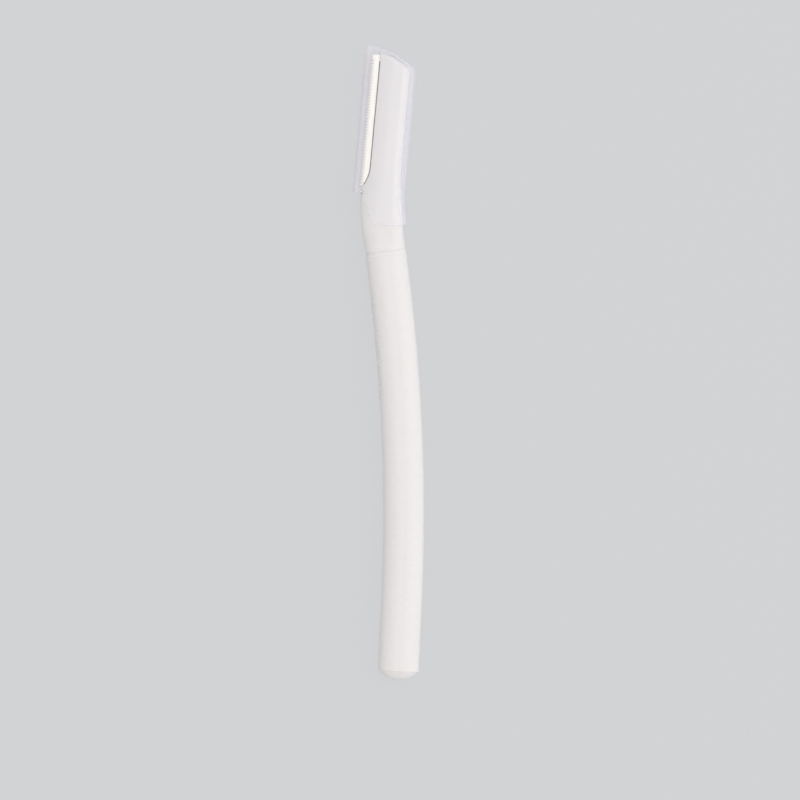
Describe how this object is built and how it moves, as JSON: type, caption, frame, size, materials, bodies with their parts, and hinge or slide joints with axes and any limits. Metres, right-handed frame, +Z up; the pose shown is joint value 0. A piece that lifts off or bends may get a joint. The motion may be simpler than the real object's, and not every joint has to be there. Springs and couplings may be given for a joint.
{
  "type": "eyebrow razor",
  "caption": "Slim eyebrow razor with a bowed white plastic handle, a comb-guarded steel blade and a frosted slip-on cap that pulls straight off.",
  "frame": {"origin": "centre of the bounding box in plan, on the surface that the razor lies on", "axes": "+Y along the razor from the handle's end to the cap's tip, +Z up through its thickness, -X towards the blade's side"},
  "size_m": [0.0178, 0.1587, 0.0072],
  "materials": {
    "handle_plastic": "satin warm white",
    "head_plastic": "satin white",
    "blade_steel": "ground",
    "guard_steel": "bright rolled",
    "cap_plastic": "frosted translucent"
  },
  "bodies": {
    "razor": {"handle_front_shell": "handle_plastic", "handle_back_shell": "handle_plastic", "end_cap": "handle_plastic", "head_body": "head_plastic", "blade_clamp_plate": "head_plastic", "blade": "blade_steel", "guard_comb": "guard_steel"},
    "cap": {"cap": "cap_plastic"}
  },
  "joints": [
    {"name": "cap_slide", "type": "slide", "parent": "razor", "child": "cap", "axis": [0.0906, 0.9959, 0], "range_m": [0, 0.05]}
  ]
}
